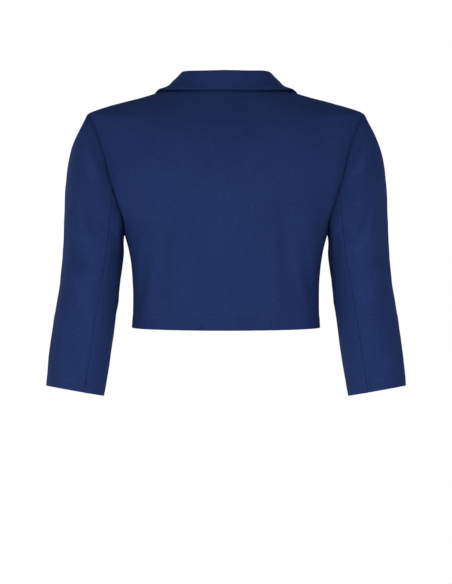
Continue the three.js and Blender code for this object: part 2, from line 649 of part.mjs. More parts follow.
function collarSection(share) {
  const front = smooth(0.95, 2, share);
  const frame = turnedFrame(neckSpot, share, front);
  const outer = collarEdgeSpot(share);
  const toSide = Math.min(share, 1);
  const height = mix(mix(STAND, STAND - 3, toSide), ROLL.lapel + 3, front);
  const lift = share <= 1 ? mix(LIFT.back, LIFT.side, toSide) : mix(LIFT.side, LIFT.front, share - 1);
  const near = spotPoint(frame.spot);
  const far = spotPoint(outer);
  const cover = FALL_STEPS.map((part) => {
    const round = spotBetween(frame.spot, outer, part);
    const straight = share > 1 ? frontSpot(mix(near.x, far.x, part), mix(near.z, far.z, part)) : round;
    const spot = spotBetween(round, straight, Math.max(share - 1, 0));
    return { share: part, point: spotPoint(spot), lift: spotNormal(spot).multiplyScalar(lift) };
  });
  const release = mix(mix(10, 48, toSide), 8, front) * DEGREE;
  return turnedSection({
    ...frame,
    height,
    roll: mix(ROLL.collar, ROLL.lapel, front),
    release,
    inset: (TURNED / 2 + SEAM_GAP) * (smooth(0.85, 1.2, share) + 0.25 * front),
    sink: mix(-SEAM_GAP, CLOTH, smooth(1.42, 1.9, share)),
    cover,
    bow: mix(mix(1.2, 1.6, toSide), 1.6, front),
  });
}

// The lapel's outer edge from the break up to its tip and in to the notch
function lapelEdge(share) {
  const tipAt = 0.8;
  const outline = [...LAPEL_EDGE, LAPEL_TIP];
  if (share <= tipAt) {
    const row = (share / tipAt) * (outline.length - 1);
    return { x: column(outline, "x", row), z: column(outline, "z", row) };
  }
  const part = (share - tipAt) / (1 - tipAt);
  return { x: mix(LAPEL_TIP.x, NOTCH.x, part), z: mix(LAPEL_TIP.z, NOTCH.z, part) };
}

function lapelSection(share) {
  const bottom = LAPEL_EDGE[0].z;
  const zAt = (part) => mix(bottom, GORGE_Z - SEAM_GAP, part);
  const neckAt = (part) => frontSpot(frontEdge(zAt(part)), zAt(part));
  const frame = turnedFrame(neckAt, share, 1);
  const outer = lapelEdge(share);
  const inner = { x: frame.edge.x, z: frame.edge.z };
  const full = smooth(0, 0.25, share);
  const cover = FALL_STEPS.map((part) => {
    const spot = frontSpot(mix(inner.x, outer.x, part), mix(inner.z, outer.z, part));
    return { share: part, point: spotPoint(spot), lift: spotNormal(spot).multiplyScalar(LIFT.front) };
  });
  return turnedSection({
    ...frame,
    height: mix(ROLL.lapel * 1.25, ROLL.lapel + 3, full),
    roll: mix(ROLL.lapel * 0.75, ROLL.lapel, full),
    release: 8 * DEGREE,
    inset: 1.25 * (TURNED / 2 + SEAM_GAP),
    sink: CLOTH,
    cover,
    bow: 1.6,
  });
}

// A wall to both sides of a middle layer
function wallAbout(grid, thick) {
  const [rows, columns] = [grid.length, grid[0].length];
  const at = (i, j) =>
    grid[Math.min(Math.max(i, 0), rows - 1)][Math.min(Math.max(j, 0), columns - 1)];
  const shifted = (amount) =>
    grid.map((row, i) =>
      row.map((point, j) => {
        const down = at(i + 1, j).clone().sub(at(i - 1, j));
        const along = at(i, j + 1).clone().sub(at(i, j - 1));
        return point.clone().addScaledVector(down.cross(along).normalize(), amount);
      }),
    );
  return wall(shifted(thick / 2), shifted(-thick / 2));
}

function collarGeometry() {
  const half = [...steps(8), ...steps(11, 1, 2).slice(1)].map(collarSection);
  const other = half.slice(1).map((row) => row.map(mirrored)).reverse();
  return wallAbout([...other, ...half], TURNED);
}
const lapelGeometry = () => wallAbout([...steps(12, 0, 0.8), ...steps(4, 0.8, 1).slice(1)].map(lapelSection), TURNED);

// Assembly

const cloth = new THREE.MeshStandardMaterial({ color: NAVY, roughness: 0.86, metalness: 0 });
const facing = new THREE.MeshStandardMaterial({ color: NAVY_FACING, roughness: 0.86, metalness: 0 });

function turnedOver(geometry) {
  const flat = geometry.clone();
  const positions = Array.from(flat.getAttribute("position").array);
  for (let i = 0; i < positions.length; i += 3) positions[i] = -positions[i];
  return facingOut(positions, Array.from(flat.index.array));
}

function piece(name, geometry, material) {
  const mesh = new THREE.Mesh(geometry, material);
  mesh.name = name;
  return mesh;
}

// A left piece and its mirror image on the right
function pair(name, geometry, material) {
  return [piece(`${name}_left`, geometry, material), piece(`${name}_right`, turnedOver(geometry), material)];
}

const jacket = new THREE.Group();
jacket.name = "spencer_jacket";
jacket.add(piece("back", backGeometry(), cloth));
jacket.add(...pair("front", frontGeometry(), cloth));
jacket.add(...pair("upper_sleeve", upperSleeveGeometry(), cloth));
jacket.add(...pair("under_sleeve", underSleeveGeometry(), cloth));
jacket.add(piece("collar", collarGeometry(), facing));
jacket.add(...pair("lapel", lapelGeometry(), facing));

export default jacket;
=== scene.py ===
# %% [markdown]
# # A cropped spencer jacket in navy double knit
#
# The jacket is shown filled out, as if someone wore it, but nobody is in it: two sleeve tubes and a
# body tube, open at the neck, hem and cuffs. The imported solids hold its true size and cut, one solid
# for each piece of cloth that a maker would sew. Blender adds what a solid can't hold: rounded cloth
# edges, closed seams, the finer folds, the fine knit, and the small stitches that hold the hems up.

import math

import bmesh
import bpy
import numpy as np
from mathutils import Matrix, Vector, noise
from mathutils.bvhtree import BVHTree
from mathutils.kdtree import KDTree


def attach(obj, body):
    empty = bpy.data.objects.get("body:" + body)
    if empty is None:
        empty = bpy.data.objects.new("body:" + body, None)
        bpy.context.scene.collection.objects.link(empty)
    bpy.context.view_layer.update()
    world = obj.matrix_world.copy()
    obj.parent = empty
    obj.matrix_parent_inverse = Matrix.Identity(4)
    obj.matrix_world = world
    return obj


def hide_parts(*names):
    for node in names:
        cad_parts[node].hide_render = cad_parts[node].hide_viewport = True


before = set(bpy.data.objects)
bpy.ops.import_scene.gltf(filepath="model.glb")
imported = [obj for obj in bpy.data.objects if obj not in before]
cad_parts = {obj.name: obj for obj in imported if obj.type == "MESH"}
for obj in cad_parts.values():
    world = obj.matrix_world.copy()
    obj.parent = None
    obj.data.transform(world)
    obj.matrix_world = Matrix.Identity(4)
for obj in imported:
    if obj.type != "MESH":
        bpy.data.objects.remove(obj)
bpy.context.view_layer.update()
MM = 0.001
print("solids:", ", ".join(sorted(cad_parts)))

# %% [markdown]
# ## The camera
#
# The photograph looks straight at the jacket's back from far away. A long lens keeps both sleeves
# in proportion. The lens stays level with the waist, and the picture is shifted down a little instead
# of tilting the camera, so that upright lines stay upright.

# %% Set up the camera
CAMERA_AWAY = 3.0
CAMERA_HEIGHT = -0.240
camera_data = bpy.data.cameras.new("camera")
camera_data.lens = 123.3
camera_data.shift_y = -0.0685
camera = bpy.data.objects.new("camera", camera_data)
bpy.context.scene.collection.objects.link(camera)
camera.location = (0, CAMERA_AWAY, CAMERA_HEIGHT)
camera.rotation_euler = (math.radians(90), 0, math.radians(180))
bpy.context.scene.camera = camera
print("camera", tuple(camera.location), "lens", camera_data.lens)

# %% [markdown]
# ## The light
#
# Dark cloth swallows light, and under light that is the same from every side its folds vanish. So a
# dim sky lights the jacket all round, a little more from below, and small soft panels stand at its
# corners and low before and behind it, where their light grazes the folds. The floor lies deeper than
# the lowest panel.
#
# The photograph has a pure white ground, and a lit white floor never renders quite white. So the sky
# and the floor ask Light Path whether a ray comes straight from the camera. Such a ray sees plain
# white, and every other ray sees the dim sky and the true floor.

# %% Set up the sky
SKY = {"colour": (0.93, 0.95, 1.0, 1), "below": 0.62, "above": 0.36}
WHITE = (1, 1, 1, 1)

scene = bpy.context.scene
scene.view_settings.view_transform = "Standard"
world = bpy.data.worlds.new("studio")
scene.world = world
world.use_nodes = True
world_nodes = world.node_tree.nodes
world_nodes["Background"].inputs["Color"].default_value = SKY["colour"]
way = world_nodes.new("ShaderNodeTexCoord")
height_of_way = world_nodes.new("ShaderNodeSeparateXYZ")
from_below = world_nodes.new("ShaderNodeMapRange")
from_below.inputs["From Min"].default_value = -1
from_below.inputs["To Min"].default_value = SKY["below"]
from_below.inputs["To Max"].default_value = SKY["above"]
world.node_tree.links.new(way.outputs["Generated"], height_of_way.inputs[0])
world.node_tree.links.new(height_of_way.outputs["Z"], from_below.inputs["Value"])
world.node_tree.links.new(from_below.outputs["Result"], world_nodes["Background"].inputs["Strength"])
backdrop = world_nodes.new("ShaderNodeBackground")
backdrop.inputs["Color"].default_value = WHITE
backdrop.inputs["Strength"].default_value = 1.0
seen = world_nodes.new("ShaderNodeLightPath")
either = world_nodes.new("ShaderNodeMixShader")
world.node_tree.links.new(seen.outputs["Is Camera Ray"], either.inputs["Fac"])
world.node_tree.links.new(world_nodes["Background"].outputs["Background"], either.inputs[1])
world.node_tree.links.new(backdrop.outputs["Background"], either.inputs[2])
world.node_tree.links.new(either.outputs["Shader"], world_nodes["World Output"].inputs["Surface"])
print("sky strength from", SKY["below"], "below to", SKY["above"], "above")

# %% Lay the floor
FLOOR_Z = -1.7
floor_shape = bmesh.new()
bmesh.ops.create_circle(floor_shape, cap_ends=True, segments=64, radius=9)
bmesh.ops.translate(floor_shape, verts=floor_shape.verts, vec=(0, 0, FLOOR_Z))
floor_mesh = bpy.data.meshes.new("floor")
floor_shape.to_mesh(floor_mesh)
floor_shape.free()
floor = bpy.data.objects.new("floor", floor_mesh)
scene.collection.objects.link(floor)
pale = bpy.data.materials.new("pale_floor")
pale.use_nodes = True
pale_surface = pale.node_tree.nodes["Principled BSDF"]
pale_surface.inputs["Base Color"].default_value = (0.88, 0.88, 0.88, 1)
pale_surface.inputs["Roughness"].default_value = 0.9
floor_seen = pale.node_tree.nodes.new("ShaderNodeLightPath")
floor_white = pale.node_tree.nodes.new("ShaderNodeEmission")
floor_mix = pale.node_tree.nodes.new("ShaderNodeMixShader")
pale.node_tree.links.new(floor_seen.outputs["Is Camera Ray"], floor_mix.inputs["Fac"])
pale.node_tree.links.new(pale_surface.outputs["BSDF"], floor_mix.inputs[1])
pale.node_tree.links.new(floor_white.outputs["Emission"], floor_mix.inputs[2])
floor_end = pale.node_tree.nodes["Material Output"]
pale.node_tree.links.new(floor_mix.outputs["Shader"], floor_end.inputs["Surface"])
floor_mesh.materials.append(pale)
print("floor at", FLOOR_Z)


# %% Hang the light panels
JACKET_MIDDLE = Vector((0, 0, -0.22))


def light_panel(name, place, size, watts):
    """A square soft light that faces the middle of the jacket."""
    lamp = bpy.data.lights.new(name, "AREA")
    lamp.shape = "SQUARE"
    lamp.size = size
    lamp.energy = watts
    panel = bpy.data.objects.new(name, lamp)
    panel.location = place
    aim = JACKET_MIDDLE - Vector(place)
    panel.rotation_euler = aim.to_track_quat("-Z", "Y").to_euler()
    panel.visible_camera = False
    scene.collection.objects.link(panel)
    return panel


PANELS = [
    {"name": "behind_camera", "place": (0.0, 3.2, -0.5), "size": 1.2, "watts": 9},
    {"name": "low_behind", "place": (0.0, 1.5, -1.3), "size": 0.9, "watts": 9},
    {"name": "back_left", "place": (2.3, 2.3, -0.2), "size": 0.7, "watts": 17},
    {"name": "back_right", "place": (-2.3, 2.3, -0.2), "size": 0.7, "watts": 9},
    {"name": "front_left", "place": (2.2, -2.2, -0.2), "size": 0.7, "watts": 26},
    {"name": "low_front", "place": (0.0, -1.5, -1.3), "size": 0.9, "watts": 7},
    {"name": "front_right", "place": (-2.4, -2.0, -0.2), "size": 0.7, "watts": 10},
]
panels = [light_panel(**panel) for panel in PANELS]
print("light panels:", len(panels))

# %% [markdown]
# ## Cloth from the solids
#
# Each solid is a thin closed wall of coarse facets: an outer face, an inner face and a narrow rim.
# A copy of it is merged, its triangles are joined back into four-sided faces, and the rim's corners
# are creased, so that Subdivision Surface rounds the cloth but keeps every piece's cut edge in place.
#
# A corner is a rim corner when its faces meet at a steep enough angle. Under the arm the rims are
# slanted and their corners blunter, so there a smaller angle will do, but only on a narrow face.

# %% Copy a solid as four-sided faces
MERGE_DISTANCE = 2e-6
FLAT_PAIR = math.radians(32)
SQUARE_PAIR = math.radians(75)
RIM_ANGLE = math.radians(46)
SLANTED_RIM_ANGLE = math.radians(28)
NARROW = 4.6 * MM
CORNER_TURN = math.radians(40)
SHARP_TIP = math.radians(50)


def rim_edges(shape):
    """The edges that are marked as rim corners. The mark outlives Subdivision Surface."""
    mark = shape.edges.layers.float.get("rim")
    return [edge for edge in shape.edges if edge[mark] > 0.5]


def narrow(face):
    """True for a face that is hardly wider than the cloth is thick, as the rim's faces are."""
    return face.calc_area() < NARROW * max(edge.calc_length() for edge in face.edges)


def is_rim_corner(edge, slanted):
    """True between a wall and its rim. A slanted rim makes a blunter corner, on a narrow face."""
    if len(edge.link_faces) != 2:
        return False
    angle = edge.calc_face_angle(0)
    blunt = slanted and angle > SLANTED_RIM_ANGLE and any(map(narrow, edge.link_faces))
    return angle > RIM_ANGLE or blunt


def four_sided_copy(node, slanted):
    """A merged copy of a solid, its triangles joined in pairs and its rim creased.

    A rim runs round its piece without an end, so a marked edge that leads nowhere is let go again.
    """
    shape = bmesh.new()
    shape.from_mesh(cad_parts[node].data)
    bmesh.ops.remove_doubles(shape, verts=shape.verts, dist=MERGE_DISTANCE)
    bmesh.ops.join_triangles(
        shape, faces=shape.faces, angle_face_threshold=FLAT_PAIR, angle_shape_threshold=SQUARE_PAIR
    )
    crease = shape.edges.layers.float.new("crease_edge")
    rim = shape.edges.layers.float.new("rim")
    for edge in shape.edges:
        if is_rim_corner(edge, slanted):
            edge[crease] = edge[rim] = 1.0
    loose = True
    while loose:
        kept = rim_edges(shape)
        ends = {}
        for edge in kept:
            for vert in edge.verts:
                ends[vert] = ends.get(vert, 0) + 1
        loose = [edge for edge in kept if min(ends[vert] for vert in edge.verts) < 2]
        for edge in loose:
            edge[crease] = edge[rim] = 0.0
    return shape


# %% [markdown]
# ## Rims that stay put
#
# Subdivision Surface turns a creased chain of edges into a smooth curve, and that curve cuts across
# the bends at its points. Along an armhole that alone would open a gap that shows. So every point is
# first moved outward by as much as the curve falls short there, a few times over, until the curve runs
# through the solid's own points. True corners, such as a lapel's notch, are pinned.

# %% Keep the rims in their places
HOLD_ROUNDS = 8


def hold_rims(shape):
    """Makes the rounded rims pass through the solid's own points. Returns its sharp tips."""
    pinned = shape.verts.layers.float.new("crease_vert")
    ways = {}
    for edge in rim_edges(shape):
        for vert in edge.verts:
            ways.setdefault(vert, []).append(edge.other_vert(vert))
    old = {vert: vert.co.copy() for vert in ways}
    runs, tips = {}, []
    for vert, others in ways.items():
        longest = sorted(((other.co - vert.co) for other in others), key=lambda step: -step.length)[:2]
        turn = math.pi - longest[0].angle(longest[1]) if len(longest) == 2 else math.pi
        if len(others) == 2 and turn < CORNER_TURN:
            runs[vert] = others
        else:
            vert[pinned] = 1.0
        if turn > math.pi - SHARP_TIP:
            tips.append(vert.co.copy())
    for _ in range(HOLD_ROUNDS):
        rounded_off = {vert: (a.co + b.co + 4 * vert.co) / 6 for vert, (a, b) in runs.items()}
        for vert, spot in rounded_off.items():
            vert.co += old[vert] - spot
    return tips


# %% Round it with Subdivision Surface
SUBDIVISIONS = 2


def rounded(node, slanted):
    """A solid's copy under Subdivision Surface, as a bmesh, and the places of its sharp tips."""
    shape = four_sided_copy(node, slanted)
    tips = hold_rims(shape)
    coarse = bpy.data.meshes.new(node + "_coarse")
    shape.to_mesh(coarse)
    shape.free()
    helper = bpy.data.objects.new(node + "_helper", coarse)
    scene.collection.objects.link(helper)
    subdivide = helper.modifiers.new("round", "SUBSURF")
    subdivide.levels = SUBDIVISIONS
    subdivide.render_levels = SUBDIVISIONS
    seen_mesh = helper.evaluated_get(bpy.context.evaluated_depsgraph_get()).to_mesh()
    fine = bmesh.new()
    fine.from_mesh(seen_mesh)
    helper.evaluated_get(bpy.context.evaluated_depsgraph_get()).to_mesh_clear()
    bpy.data.objects.remove(helper)
    bpy.data.meshes.remove(coarse)
    return fine, tips


# %% [markdown]
# ## Which face is which
#
# A fold moves both faces of the cloth together, and it is worked out on the outer face. The script
# finds that one by walking from face to face without crossing a rim corner. Two of the groups that it
# finds are large, and the outer face is the one that looks away from the middle of the body or sleeve.

# %% Find the outer face
def walks(shape):
    """The groups of faces that meet without a rim corner between them."""
    rims = set(rim_edges(shape))
    walked = set()
    groups = []
    for start in shape.faces:
        if start in walked:
            continue
        walked.add(start)
        group = [start]
        for face in group:
            for edge in face.edges:
                if edge in rims:
                    continue
                for other in edge.link_faces:
                    if other not in walked:
                        walked.add(other)
                        group.append(other)
        groups.append(group)
    return groups


def outer_face(shape, middle):
    """The large group of faces that looks away from the line through the piece's middle."""
    groups = sorted(walks(shape), key=lambda group: -sum(face.calc_area() for face in group))[:2]

    def looks_out(group):
        total = 0
        for face in group:
            centre = face.calc_center_median()
            total += face.calc_area() * face.normal.dot(centre - middle(centre))
        return total

    return max(groups, key=looks_out)


# %% Middle lines of the body and of the sleeves
def body_middle(point):
    """The nearest point of the body's upright middle line."""
    return Vector((0, 0, point.z))


SLEEVE_TOP = Vector((198, 0, -200)) * MM
SLEEVE_CUFF = Vector((227.3, -12, -449)) * MM
SLEEVE_TILT = math.radians(10.2)


def sleeve_middle(point):
    """The nearest point of the middle line of the sleeve on the point's side."""
    side = Vector((math.copysign(1, point.x), 1, 1))
    share = (SLEEVE_TOP.z - point.z) / (SLEEVE_TOP.z - SLEEVE_CUFF.z)
    spot = SLEEVE_TOP.lerp(SLEEVE_CUFF, max(share, 0))
    return spot * side + Vector((0, 0, point.z - spot.z))


# %% [markdown]
# ## Folds placed one by one
#
# The imported solids carry the deepest folds. The rest are laid here one by one, where the photograph
# shows them, and the sides that it doesn't show get similar ones. Each fold is a soft trough, or a
# ridge where its depth is negative, with one steep side and one easy side, because real cloth leans.

# %% The table of folds
# face: the side it is seen from. across, up: its middle, in millimetres from the jacket's middle
# line and from the neck. lean: degrees from upright, positive when its top leans away from the middle.
FOLD_COLUMNS = ("face", "across", "up", "lean", "long", "wide", "deep")
BODY_FOLDS = [
    ("rear", 154, -164, 10, 45, 6, -0.7),
    ("rear", 82, -235, -4, 60, 7, 0.8),
    ("rear", 108, -280, -8, 36, 6, -0.8),
    ("rear", 124, -303, -16, 34, 5, 0.8),
    ("rear", 126, -252, -7, 32, 5, -0.7),
    ("rear", 106, -189, 84, 30, 5, -0.35),
    ("rear", 60, -276, -10, 34, 9, -0.4),
    ("rear", 22, -318, 6, 30, 14, 0.3),
    ("rear", 96, -96, 62, 34, 9, 0.3),
    ("rear", 30, -66, 84, 40, 9, 0.3),
    ("fore", 146, -166, 12, 40, 6, -0.7),
    ("fore", 118, -214, 48, 26, 7, 0.8),
    ("fore", 110, -240, 40, 30, 8, -0.7),
    ("fore", 122, -286, -14, 34, 6, 1.0),
    ("fore", 104, -296, -6, 34, 6, -0.7),
    ("fore", 66, -262, -12, 44, 8, 0.7),
    ("fore", 40, -300, 6, 36, 9, -0.5),
    ("fore", 122, -104, 26, 34, 9, 0.5),
]
SLEEVE_FOLDS = [
    ("rear", 197, -104, 26, 40, 6, -0.9),
    ("rear", 210, -128, 23, 26, 7, 0.8),
    ("rear", 215, -185, 14, 26, 5, -0.6),
    ("rear", 199, -197, 23, 27, 6, 0.65),
    ("rear", 202, -226, 55, 20, 6, -0.8),
    ("rear", 217, -255, 55, 24, 8, 0.65),
    ("rear", 217, -291, 20, 24, 5, -0.7),
    ("rear", 223, -318, 50, 22, 8, 0.45),
    ("rear", 238, -356, 34, 14, 4, -0.6),
    ("rear", 229, -384, 20, 16, 7, 0.4),
    ("rear", 247, -398, 39, 14, 4, -0.6),
    ("rear", 200, -300, -7, 75, 7, -0.6),
    ("rear", 174, -240, -5, 45, 4, -0.5),
    ("fore", 196, -112, 24, 38, 7, -0.8),
    ("fore", 210, -150, 20, 28, 7, 0.7),
    ("fore", 196, -232, 50, 24, 7, 0.9),
    ("fore", 212, -252, 58, 24, 7, -0.8),
    ("fore", 200, -284, 66, 26, 7, 1.0),
    ("fore", 212, -306, 52, 24, 7, -0.8),
    ("fore", 216, -334, 30, 28, 7, 0.6),
    ("fore", 230, -376, 14, 30, 7, -0.5),
    ("outer", 20, -140, 24, 34, 7, -0.6),
    ("outer", 18, -232, 40, 28, 7, 0.7),
    ("outer", -14, -262, 34, 32, 7, -0.6),
    ("outer", -16, -304, 56, 28, 7, 0.8),
    ("outer", 14, -330, 40, 24, 6, -0.5),
    ("outer", 10, -392, 12, 34, 8, 0.5),
    ("inner", 10, -262, 30, 26, 7, 0.7),
    ("inner", -16, -318, 70, 26, 7, -0.7),
]
print("folds:", len(BODY_FOLDS), "on the body,", len(SLEEVE_FOLDS), "on each sleeve")


# %% How deep the folds are at a point
FOLD_STRENGTH = 2.0
FOLD_FORM = {"bend": 0.35, "easy": 1.45, "steep": 0.8, "fade": 1.6}


def fold_depth(folds, points, normals):
    """Millimetres that each point is pressed in, from its place and the way its cloth faces."""
    depth = np.zeros(len(points))
    side = np.sign(points[:, 0])
    facing = {
        "rear": normals[:, 1],
        "fore": -normals[:, 1],
        "outer": normals[:, 0] * side,
        "inner": -normals[:, 0] * side,
    }
    for row in folds:
        fold = dict(zip(FOLD_COLUMNS, row))
        sideways = np.abs(points[:, 0]) if fold["face"] in ("rear", "fore") else points[:, 1]
        dx, dz = sideways - fold["across"], points[:, 2] - fold["up"]
        lean = math.radians(fold["lean"])
        beside = dx * math.cos(lean) - dz * math.sin(lean)
        along = (dx * math.sin(lean) + dz * math.cos(lean)) / fold["long"]
        beside = beside + FOLD_FORM["bend"] * fold["wide"] * along**2
        width = np.where(beside > 0, FOLD_FORM["easy"], FOLD_FORM["steep"]) * fold["wide"]
        shown = np.clip(facing[fold["face"]] * FOLD_FORM["fade"], 0, 1)
        depth += FOLD_STRENGTH * fold["deep"] * shown * np.exp(-((beside / width) ** 2) - along**2)
    return depth


# %% [markdown]
# ## Sewn edges and uneven cloth
#
# Along a seam the cloth dips into the stitching line, and a few millimetres away it stands up over the
# seam allowance pressed flat underneath. A turned-up hem doubles the cloth, so the outside stands a
# hair prouder from the edge up to the row of stitches. The body of the cloth isn't perfectly even
# either, so a low wandering unevenness keeps the light from gliding over it as it would over plastic.

# %% Dips at the seams, a step at the hems, unevenness in between
SEAM_DIP = {"deep": 0.4, "wide": 1.5}
SEAM_SWELL = {"high": 0.3, "at": 5.0, "wide": 3.2}
STITCHES_UP = 18.0
HEM_TURN = {"body": -353.5 + STITCHES_UP, "high": 0.35, "soft": 2.0}
WAVES = {"slow": {"high": 0.45, "long": 34}, "quick": {"high": 0.14, "long": 12}}


def hem_step(points, middle):
    """How deep the hem's low step lies, in millimetres. Its doubled cloth stands out, so it is negative."""
    up = points[:, 2] - HEM_TURN["body"]
    if middle is sleeve_middle:
        down = (SLEEVE_CUFF - SLEEVE_TOP).normalized()
        cuff = SLEEVE_CUFF / MM
        up = -((np.abs(points[:, 0]) - cuff.x) * down.x + (points[:, 2] - cuff.z) * down.z) - STITCHES_UP
    return -HEM_TURN["high"] * (1 - np.tanh(up / HEM_TURN["soft"])) / 2


def seam_depth(distance):
    """A dip at a seam, and a swell beside it, in millimetres."""
    dip = SEAM_DIP["deep"] * np.exp(-((distance / SEAM_DIP["wide"]) ** 2))
    swell = SEAM_SWELL["high"] * np.exp(-(((distance - SEAM_SWELL["at"]) / SEAM_SWELL["wide"]) ** 2))
    return dip - swell


def unevenness(points):
    """Two sizes of waves, in millimetres."""
    slow, quick = WAVES["slow"], WAVES["quick"]
    return np.array(
        [
            slow["high"] * noise.noise(Vector(p) / slow["long"])
            + quick["high"] * noise.noise(Vector(p) / quick["long"])
            for p in points
        ]
    )


# %% [markdown]
# ## Straight cuffs
#
# Seen from behind, the edge of each cuff is almost a straight line, although a cuff is a ring. Its rear
# half hangs a little higher than its front half, so the rear is raised and the front lowered here, by
# an amount that grows toward the edge.

# %% Tip the cuffs
CUFF_TIP = {"slope": 0.07, "from": -0.385, "to": -0.440}


def tip_cuff(shape, middle):
    """Raises the rear of a cuff and lowers its front a little, more and more toward the edge."""
    for vert in shape.verts:
        share = (CUFF_TIP["from"] - vert.co.z) / (CUFF_TIP["from"] - CUFF_TIP["to"])
        share = min(max(share, 0), 1)
        vert.co.z += CUFF_TIP["slope"] * (vert.co.y - middle(vert.co).y) * share * share * (3 - 2 * share)


# %% [markdown]
# ## One wall, moved as one
#
# A displacement that acted on each face alone would make the cloth thick and thin. So it is worked out
# for the outer face only, and every other point of the wall follows the three outer points nearest to
# it. The cloth keeps its thickness through every fold.

# %% Search trees, and the points of the outer face
def tree_of(spots):
    """A tree that finds the nearest of some spots, numbered in their order."""
    tree = KDTree(len(spots))
    for number, spot in enumerate(spots):
        tree.insert(spot, number)
    tree.balance()
    return tree


def outer_points(shape, middle, is_folded):
    """The way each outer point faces, and the numbers of the points on a sewn rim."""
    outer = outer_face(shape, middle)
    inside = set(outer)
    ways = np.zeros((len(shape.verts), 3))
    sewn = set()
    for face in outer:
        weighted = np.array(face.normal) * face.calc_area()
        for vert in face.verts:
            ways[vert.index] += weighted
        for edge in face.edges:
            if any(other not in inside for other in edge.link_faces) and not is_folded(edge):
                sewn.update(vert.index for vert in edge.verts)
    return ways, sorted(sewn)


# %% Move both faces of a piece of cloth together
NO_SEAM = 50.0
FOLLOWED = 3
CLOSEST = 1e-5


def settle_cloth(shape, middle, folds, is_folded):
    """Adds folds, seams and unevenness to the outer face, and carries the rest of the wall along.

    Returns a tree of the outer face's points, and how deep the folds press each of them.
    """
    shape.verts.ensure_lookup_table()
    shape.verts.index_update()
    ways, sewn = outer_points(shape, middle, is_folded)
    which = np.flatnonzero(np.linalg.norm(ways, axis=1) > 0)
    normals = ways[which] / np.linalg.norm(ways[which], axis=1)[:, None]
    places = np.array([shape.verts[i].co for i in which]) / MM
    distance = np.full(len(which), NO_SEAM)
    if sewn:
        seams = tree_of([shape.verts[i].co for i in sewn])
        distance = np.array([seams.find(shape.verts[i].co)[2] for i in which]) / MM
    folded = fold_depth(folds, places, normals)
    depth = folded + seam_depth(distance) + unevenness(places) + hem_step(places, middle)
    moves = -normals * depth[:, None] * MM
    tree = tree_of([shape.verts[i].co for i in which])
    for vert in shape.verts:
        near = tree.find_n(vert.co, FOLLOWED)
        weights = np.array([1 / (found[2] + CLOSEST) for found in near])
        move = (moves[[found[1] for found in near]] * weights[:, None]).sum(0) / weights.sum()
        vert.co += Vector(move)
    return tree_of([shape.verts[i].co for i in which]), folded


# %% [markdown]
# ## Cut edges
#
# A pressed seam edge is only slightly rounded, and a folded edge, such as a hem or the collar's rim,
# has nearly the full roundness of the folded cloth. Bevel does both: it rounds each rim corner by the
# right amount. Real edges are never a perfect knife, and the small highlight along them shows it. At a
# sharp tip, where two rims nearly meet, a bevel would shoot past the cloth, so it stops short of those.

# %% Round the rims
SEAM_ROUND = 0.5 * MM
FOLDED_ROUND = 0.85 * MM
TIP_REACH = 7 * MM


def round_rims(shape, is_folded, tips):
    """Bevels the rim's corners, more where is_folded says that the edge is a fold."""
    rims = [
        edge
        for edge in rim_edges(shape)
        if all((vert.co - tip).length > TIP_REACH for vert in edge.verts for tip in tips)
    ]
    folded = [edge for edge in rims if is_folded(edge)]
    seams = [edge for edge in rims if not is_folded(edge)]
    for edges, offset in ((folded, FOLDED_ROUND), (seams, SEAM_ROUND)):
        if not edges:
            continue
        kept = [edge for edge in edges if edge.is_valid]
        bmesh.ops.bevel(
            shape,
            geom=kept,
            offset=offset,
            offset_type="OFFSET",
            segments=2,
            profile=0.5,
            affect="EDGES",
            material=-1,
            clamp_overlap=False,
        )


# %% [markdown]
# ## Closed seams
#
# The solids stand a fraction of a millimetre apart, so against a white ground every seam would let
# light through. Thread draws real cloth together. Here each sewn rim is pushed out along its own
# normal until it reaches a hair into its neighbour. Folded edges, such as hems, stay where they are.

# %% Draw the seams shut
SEAM_PUSH = 1.0 * MM


def close_seams(shape, is_folded):
    """Pushes the sewn rims out a hair. Rims are all groups of faces but the two largest."""
    rims = set(rim_edges(shape))
    strips = sorted(walks(shape), key=lambda group: -sum(face.calc_area() for face in group))[2:]
    moves = {}
    for strip in strips:
        corners = [edge for face in strip for edge in face.edges if edge in rims]
        if sum(is_folded(edge) for edge in corners) > len(corners) / 2:
            continue
        pushes = {}
        for face in strip:
            for vert in face.verts:
                pushes[vert] = pushes.get(vert, Vector()) + face.normal * face.calc_area()
        for vert, push in pushes.items():
            moves[vert] = moves.get(vert, Vector()) + push.normalized() * SEAM_PUSH
    for vert, move in moves.items():
        vert.co += move


# %% Tell folded edges from sewn ones
def level_edge(edge):
    """True for an edge that runs round the piece instead of up it."""
    step = edge.verts[0].co - edge.verts[1].co
    return abs(step.z) < 0.6 * step.length


def body_hem_edge(edge):
    return edge.verts[0].co.z < -0.350 and level_edge(edge)


def front_folded_edge(edge):
    middle = (edge.verts[0].co + edge.verts[1].co) / 2
    return body_hem_edge(edge) or (middle.y < 0 and abs(middle.x) < 0.027 and middle.z < -0.2)


def cuff_edge(edge):
    return edge.verts[0].co.z < -0.436 and level_edge(edge)


# %% [markdown]
# ## The knit's direction
#
# A knit has columns of stitches that run up the cloth. They follow each piece, not the room, so every
# piece gets a map called grain, in millimetres: across the columns, and along them.

# %% Lay the grain map
def body_grain(point):
    return math.atan2(point.x, point.y) * 118, point.z


def front_grain(point):
    return math.atan2(point.x, -point.y) * 118, point.z


def sleeve_grain(point):
    middle = sleeve_middle(point * MM) / MM
    side = math.copysign(1, point.x)
    return math.atan2(point.y - middle.y, side * (point.x - middle.x)) * 47, point.z


def under_sleeve_grain(point):
    middle = sleeve_middle(point * MM) / MM
    side = math.copysign(1, point.x)
    return math.atan2(point.y - middle.y, -side * (point.x - middle.x)) * 47, point.z


def collar_grain(point):
    return math.atan2(point.x, point.y) * 90, point.z - math.hypot(point.x, point.y)


def lapel_grain(point):
    return point.x, point.z


